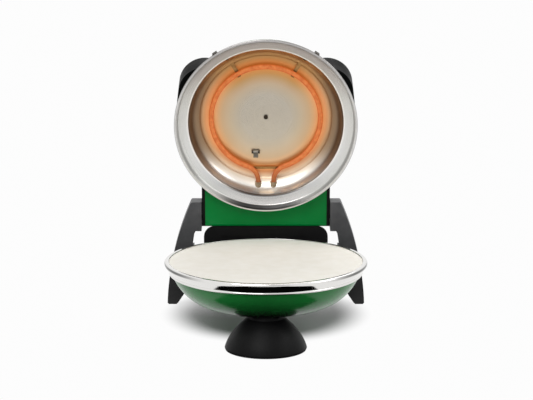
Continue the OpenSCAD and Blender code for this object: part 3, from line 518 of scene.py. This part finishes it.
# Front foot: a hollow bell moulded in black plastic with a fine grain, screwed up against
# the bowl's underside. A rubber disc closes it below.
def moulding(name, shade, shine):
    """Black plastic with a fine spark-eroded grain."""
    material = finish_of(name, (shade, shade, shade), 0.42, Specular_IOR_Level=shine)
    relief(material, mottle(material, 1300, 3), 0.00009)
    gloss_range(material, mottle(material, 30, 4), 0.4, 0.54)
    shades(material, mottle(material, 45), (shade * 0.8, shade * 0.8, shade * 0.85),
           (shade * 1.2, shade * 1.2, shade * 1.25))
    return material


foot_black = moulding("foot_black", 0.004, 0.1)
foot_rubber = finish_of("foot_rubber", (0.012, 0.012, 0.012), 0.75)
relief(foot_rubber, mottle(foot_rubber, 800, 4), 0.0002)

foot_r, foot_neck_r, foot_y = 66, 29.5, -80
foot_low, foot_top = -124.5, -66
foot_outline = ([(foot_r - 0.6, foot_low), (foot_r - 0.15, foot_low + 0.15),
                 (foot_r, foot_low + 0.6)]
                + curve((foot_r, foot_low + 1), (foot_r - 8, -97), (foot_neck_r, -74.5), 40)
                + [(foot_neck_r - 1.2, -71), (foot_neck_r - 3, foot_top - 0.5),
                   (foot_neck_r - 3.2, foot_top)])
foot = spun(foot_outline + [(0, foot_top), (0, foot_low)], 192)
for v in foot.verts:
    v.co.y += foot_y
    out = math.hypot(v.co.x, v.co.y)
    under = bowl_floor
    if out > side_centre[0]:
        under = side_centre[1] - math.sqrt(side_r ** 2 - (out - side_centre[0]) ** 2)
    v.co.z = min(v.co.z, under)
made("bell_foot", foot, base_place, foot_black, "base", ["front_foot"])
coat(foot_rubber, "foot_pad")
coat(zinc, "foot_screws")

# Rear legs: two black mouldings, open behind, that rise past the bowl to carry the hinge
# pins. Each stands on a rubber pad.
leg_black = moulding("leg_black", 0.11, 0.25)
# Painted light and shade: the legs' black is lighter than the other mouldings', as lit from
# above, and is darkened towards the table.
leg_spot = add_node(leg_black, "TexCoord")
leg_height = add_node(leg_black, "SeparateXYZ")
leg_painted_shade = add_node(leg_black, "MapRange", From_Min=0.03, From_Max=0.24, To_Min=0.97,
                    To_Max=0.0)
link(leg_black, leg_spot.outputs["Object"], leg_height.inputs["Vector"])
link(leg_black, leg_height.outputs["Z"], leg_painted_shade.inputs["Value"])
darkened(leg_black, leg_painted_shade.outputs["Result"], (0.004, 0.004, 0.004))
coat(leg_black, "left_leg", "right_leg", edge=0.0009)
coat(foot_rubber, "leg_pads")

# Bridge: a black moulding between the legs, with a saddle that carries the bowl and a
# plate behind the rim. Rubber bumpers on it stop the open lid.
coat(foot_black, "rear_bridge", edge=0.0008)
coat(zinc, "leg_screws", "bridge_screws", "hinge_pins")
coat(foot_rubber, "stop_bumpers", "friction_washers", "cord_gland")

# Dome: the lid's outer shell, drawn from one sheet of steel and enamelled as the bowl is.
hinge_y, hinge_z, hinge_over_ring = 180, 27, 27.9
open_angle = 79.2
lid_place = (base_place @ Matrix.Translation((0, hinge_y, hinge_z))
             @ Matrix.Rotation(math.radians(-open_angle), 4, "X")
             @ Matrix.Translation((0, -hinge_y, -hinge_over_ring)))


def dome_line(inset, steps=72):
    """The dome's outline from its lower edge to its top, drawn in by inset."""
    dome_r, dome_low, dome_rise, fullness = 150, 1.2, 64.8, 0.85
    points = []
    for i in range(steps + 1):
        turn = math.radians(90 * i / steps)
        points.append(((dome_r - inset) * max(math.cos(turn), 0) ** fullness,
                       dome_low + (dome_rise - inset) * math.sin(turn) ** fullness))
    points[-1] = (0, points[-1][1])
    return points


# Painted light: the lid's green is a slightly brighter copy of the bowl's, for the light that
# falls on the lid and its hinge box.
lid_enamel = enamel("lid_enamel", (0.0, 0.2, 0.034), (0.0, 0.24, 0.046), 0.1)
made("dome", spun(dome_line(0) + dome_line(sheet_t)[::-1]), lid_place, lid_enamel, "lid",
     ["lid_shell"])

# Lid ring: stainless steel, hemmed over the dome's edge, with a skirt and a shelf that
# rises a little to the reflector it carries. Two clips pinch it to the dome.
ring_path = ([(151.9, 2.6), (151.9, 1.6)] + arc((150.9, 1.6), 1.0, 0, -90, 8)
             + arc((149.0, 1.8), 1.2, -90, -176, 8)[1:]
             + curve((146.3, 12.6), (146.2, 14), (144.8, 14.34), 8) + [(129.6, 17.98)])
lid_steel = finish_of("lid_steel", (0.66, 0.65, 0.64), 0.2, 1.0)
lid_turning = mottle(lid_steel, 1.0, 4, (6, 5200, 1), "UV")
gloss_range(lid_steel, lid_turning, 0.24, 0.4)
relief(lid_steel, lid_turning, 0.00001)
ring_way, ring_angle = turned_place(lid_steel)
# Painted reflection, highlight and shade in rings of tone: at the lid's front, at its sides and
# next to the hinge, where a dark band stands for the skirt mirroring dark things and lying in
# shade.
ring_front = band_of("front", lid_steel, ring_way, [
    (0.0, (0.22, 0.21, 0.2)), (0.001, (0.25, 0.24, 0.23)), (0.0035, (0.6, 0.58, 0.57)),
    (0.007, (0.28, 0.27, 0.26)), (0.016, (0.28, 0.26, 0.25)), (0.0195, (0.34, 0.3, 0.28)),
    (0.026, (0.5, 0.46, 0.45)), (0.0325, (0.5, 0.47, 0.45)), (0.0345, (0.95, 0.93, 0.9))])
ring_side = band_of("side", lid_steel, ring_way, [
    (0.0, (0.3, 0.29, 0.28)), (0.001, (0.36, 0.35, 0.34)), (0.0035, (0.8, 0.79, 0.77)),
    (0.007, (0.4, 0.4, 0.39)), (0.014, (0.4, 0.4, 0.39)), (0.0185, (0.7, 0.7, 0.68)),
    (0.0325, (0.74, 0.74, 0.73)), (0.0345, (0.95, 0.93, 0.9))])
ring_low = band_of("low", lid_steel, ring_way, [
    (0.0, (0.9, 0.89, 0.87)), (0.0036, (0.9, 0.89, 0.87)), (0.0046, (0.03, 0.03, 0.03)),
    (0.0172, (0.02, 0.02, 0.02)), (0.0192, (0.8, 0.79, 0.77)), (0.023, (0.99, 0.97, 0.95)),
    (0.0325, (0.99, 0.97, 0.95)), (0.0345, (0.14, 0.12, 0.11))])
off_front = share_of(lid_steel, ring_angle, "SINE", -0.8, -0.15)
ring_round = mixed(lid_steel, off_front, ring_front, ring_side)
at_hinge = share_of(lid_steel, ring_angle, "SINE", 0.8, 0.98)
feed(lid_steel, mixed(lid_steel, at_hinge, ring_round, ring_low), "Base Color")
made("lid_rim", spun(sheet_edge(ring_path, sheet_t)), lid_place, lid_steel, "lid",
     ["lid_ring"])
smoked = finish_of("smoked", (0.05, 0.04, 0.03), 0.45, 1.0)
gloss_range(smoked, mottle(smoked, 400, 3), 0.38, 0.55)
coat(smoked, "ring_clips", edge=0.0002)

# Reflector: polished steel under the dome, tinted straw and brown where the heater bakes it and
# painted with reflections, highlights and shade. It has a flange behind the shelf, a rounded
# wall and a flat ceiling.
hot_steel = finish_of("hot_steel", (0.56, 0.5, 0.41), 0.26, 0.9)
polish = mottle(hot_steel, 1.0, 4, (5, 7000, 1), "UV")
relief(hot_steel, polish, 0.000005)
way, angle = turned_place(hot_steel)
dulled = band_of("dulled", hot_steel, way, [
    (0.0, (0.28, 0.28, 0.28)), (0.04, (0.3, 0.3, 0.3)), (0.047, (0.6, 0.6, 0.6)),
    (0.057, (0.62, 0.62, 0.62)), (0.066, (0.33, 0.33, 0.33)), (0.12, (0.28, 0.28, 0.28))])
rubbed = add_node(hot_steel, "MixRGB", Fac=0.2)
rubbed.blend_type = "OVERLAY"
link(hot_steel, dulled, rubbed.inputs["Color1"])
link(hot_steel, polish, rubbed.inputs["Color2"])
feed(hot_steel, rubbed.outputs["Color"], "Roughness")
# Tempering tints with painted reflection, highlight and shade, in rings from the flange over
# the wall to the middle of the ceiling: darker at the sides, where the wall mirrors the dark
# room, with a dark line of shade at the mouth by the hinge.
front_temper_and_reflection = band_of("front", hot_steel, way, [
    (0.0, (0.5, 0.48, 0.45)), (0.0128, (0.85, 0.8, 0.74)), (0.0148, (0.95, 0.88, 0.8)),
    (0.016, (0.98, 0.7, 0.45)), (0.03, (0.74, 0.45, 0.21)), (0.054, (0.56, 0.36, 0.15)),
    (0.0675, (0.6, 0.26, 0.07)), (0.082, (0.56, 0.32, 0.12)), (0.1, (0.64, 0.51, 0.36)),
    (0.12, (0.63, 0.57, 0.48))])
side_temper_and_reflection = band_of("side", hot_steel, way, [
    (0.0, (0.5, 0.48, 0.45)), (0.0128, (0.8, 0.78, 0.76)), (0.0148, (0.9, 0.88, 0.86)),
    (0.016, (0.22, 0.24, 0.25)), (0.03, (0.14, 0.115, 0.085)), (0.046, (0.3, 0.21, 0.13)),
    (0.054, (0.66, 0.43, 0.24)), (0.0675, (0.78, 0.38, 0.14)), (0.08, (0.66, 0.45, 0.25)),
    (0.1, (0.66, 0.55, 0.4)), (0.12, (0.63, 0.57, 0.48))])
rear_temper_and_reflection = band_of("rear", hot_steel, way, [
    (0.0, (0.5, 0.48, 0.45)), (0.0128, (0.03, 0.025, 0.02)), (0.0148, (0.05, 0.04, 0.03)),
    (0.016, (0.54, 0.68, 0.82)), (0.026, (0.8, 0.84, 0.84)), (0.054, (0.86, 0.68, 0.48)),
    (0.0605, (0.5, 0.3, 0.16)), (0.0675, (0.7, 0.36, 0.15)), (0.0745, (0.38, 0.24, 0.12)),
    (0.08, (0.68, 0.5, 0.31)), (0.1, (0.68, 0.57, 0.43)), (0.12, (0.63, 0.57, 0.48))])
to_rear = share_of(hot_steel, angle, "SINE", -0.2, 0.9)
to_side = share_of(hot_steel, angle, "COSINE", 0.55, 0.98)
round_temper_and_reflection = mixed(hot_steel, to_rear, front_temper_and_reflection, rear_temper_and_reflection)
feed(hot_steel, mixed(hot_steel, to_side, round_temper_and_reflection, side_temper_and_reflection), "Base Color")
# Painted glow: the steel itself gives off the orange light of the tube beside it, fainter in
# reflections.
shine = band_of("shine", hot_steel, way, [
    (0.016, (0.02, 0.01, 0.004)), (0.05, (0.05, 0.018, 0.004)), (0.06, (0.26, 0.06, 0.009)),
    (0.0675, (0.3, 0.08, 0.012)), (0.075, (0.2, 0.05, 0.008)), (0.086, (0.06, 0.022, 0.006)),
    (0.108, (0, 0, 0))])
feed(hot_steel, shine, "Emission Color")
seen_in = add_node(hot_steel, "LightPath")
painted_glow_level = add_node(hot_steel, "MapRange", To_Min=1.0, To_Max=0.15)
link(hot_steel, seen_in.outputs["Is Glossy Ray"], painted_glow_level.inputs["Value"])
feed(hot_steel, painted_glow_level.outputs["Result"], "Emission Strength")
reflector_path = ([(143.5, 15.67), (131.7, 18.5)]
                  + curve((130.2, 20), (127, 38), (111.5, 44.6), 40)
                  + curve((110.5, 46.2), (109, 48.4), (106, 48.4), 8) + [(60, 48.4), (0, 48.4)])
thin_sheet_t = 0.8
made("reflector", spun(sheet_edge(reflector_path, thin_sheet_t)), lid_place, hot_steel, "lid",
     ["lid_reflector"])
coat(smoked, "reflector_rivets")

# Upper heater: the same sheathed tube, glowing, in two riveted brackets and a strap, with
# the thermostat's bulb and the reflector's middle screw beside it.
browned = finish_of("browned", (0.3, 0.2, 0.11), 0.4, 1.0)
shades(browned, mottle(browned, 150, 4), (0.3, 0.15, 0.05), (0.48, 0.26, 0.1))
coat(glow, "upper_heater")
coat(browned, "heater_strap", "heater_brackets")
coat(smoked, "thermostat_bulb", "ceiling_screw")
dull_steel = finish_of("dull_steel", (0.24, 0.22, 0.19), 0.5, 1.0)
gloss_range(dull_steel, mottle(dull_steel, 400, 3), 0.42, 0.6)
coat(dull_steel, "bulb_bracket")
sooty_steatite = finish_of("sooty_steatite", (0.36, 0.27, 0.17), 0.7)
shades(sooty_steatite, mottle(sooty_steatite, 300, 4), (0.22, 0.15, 0.08), (0.45, 0.34, 0.22))
coat(sooty_steatite, "upper_terminals")

# Wool: a pad of mineral fibre between reflector and dome, and the wiring over it.
wool = finish_of("wool", (0.66, 0.64, 0.57), 0.95)
relief(wool, mottle(wool, 300, 8), 0.001)
coat(wool, "lid_insulation")
coat(sleeve, "lid_wiring")

# Hinge box: green sheet wrapped round the lid's rear, closed by two black moulded caps
# that hold the ceramic bushes.
coat(lid_enamel, "hinge_box", edge=0.0003)
coat(foot_black, "left_end_cap", "right_end_cap", edge=0.0007)
coat(zinc, "end_cap_screws", "housing_screws", "grip_screws")
coat(steatite, "hinge_bushes")

# Controls: two black housings on the dome with a grip between them, a clockwork timer on
# the left and a thermostat on the right.
housing_black = moulding("housing_black", 0.004, 0.03)
coat(housing_black, "timer_housing", "thermostat_housing", edge=0.0005)
coat(housing_black, "handle_grip")
coat(zinc, "timer_body", "timer_shaft", "thermostat_shaft")
coat(steatite, "thermostat_body")
amber = finish_of("amber", (0.7, 0.16, 0.02), 0.2, Transmission_Weight=0.3)
relief(amber, mottle(amber, 900, 2), 0.00003)
coat(amber, "indicator_lens", edge=0.0004)

# Dials and knobs: satin plates printed with ticks and plain numbers, under black knobs with
# a finger bar and an inlaid pointer.
dial_plate = finish_of("dial_plate", (0.36, 0.36, 0.37), 0.4, 1.0)
dial_grain = mottle(dial_plate, 1.0, 3, (3000, 60, 60))
gloss_range(dial_plate, dial_grain, 0.3, 0.42)
relief(dial_plate, dial_grain, 0.000008)
coat(dial_plate, "timer_dial", "thermostat_dial")
coat(housing_black, "timer_knob", "thermostat_knob", edge=0.0006)
print_black = finish_of("print_black", (0.01, 0.01, 0.01), 0.5)
gloss_range(print_black, mottle(print_black, 700), 0.45, 0.6)
inlay_white = finish_of("inlay_white", (0.75, 0.75, 0.72), 0.45)
gloss_range(inlay_white, mottle(inlay_white, 700), 0.4, 0.55)
dial_x, dial_y, dial_top = 101, -52, 75.8
print_t = 0.04


def bar(bm, size, place):
    """A thin block of the given size, in millimetres, at a place."""
    bmesh.ops.create_cube(bm, matrix=place @ Matrix.Diagonal((*size, 1)))


def print_dial(name, x, numbers, step, ticks):
    """Numbers and ticks printed clockwise round a dial, from its rear."""
    number_r, number_h = 26.6, 4.6
    tick_r, tick_w, short_tick, long_tick = 22.6, 0.35, 0.7, 1.3
    print_bm = bmesh.new()
    centre = Matrix.Translation((x, dial_y, dial_top + print_t / 2))
    for i, number in enumerate(numbers):
        turn = centre @ Matrix.Rotation(math.radians(-step * i), 4, "Z")
        letter = bpy.data.curves.new(number, "FONT")
        letter.body = number
        letter.size = number_h
        letter.extrude = print_t / 2
        letter.align_x = "CENTER"
        letter.align_y = "CENTER"
        holder = bpy.data.objects.new(number, letter)
        bpy.context.collection.objects.link(holder)
        drawn = holder.evaluated_get(bpy.context.evaluated_depsgraph_get())
        figure = bpy.data.meshes.new_from_object(drawn)
        bpy.data.objects.remove(holder)
        figure.transform(turn @ Matrix.Translation((0, number_r, 0)))
        print_bm.from_mesh(figure)
    for i in range((len(numbers) - 1) * ticks + 1):
        turn = centre @ Matrix.Rotation(math.radians(-step * i / ticks), 4, "Z")
        length = short_tick if i % ticks else long_tick
        bar(print_bm, (tick_w, length, print_t),
            turn @ Matrix.Translation((0, tick_r + length / 2, 0)))
    bmesh.ops.remove_doubles(print_bm, verts=print_bm.verts, dist=0.001)
    made(name, print_bm, lid_place, print_black, "lid")


def inlay(name, x, body):
    """The white line on a knob's finger bar."""
    width, length, thickness = 1.4, 9.5, 0.5
    knob_top, middle_r = 19.5, 10.5
    line = bmesh.new()
    bar(line, (width, length, thickness),
        Matrix.Translation((x, dial_y + middle_r, dial_top + knob_top)))
    made(name, line, lid_place, inlay_white, body)


print_dial("timer_print", -dial_x, "012345", 60, 5)
print_dial("thermostat_print", dial_x, "0123", 90, 6)
inlay("timer_pointer", -dial_x, "timer_dial_knob")
inlay("thermostat_pointer", dial_x, "thermostat_dial_knob")
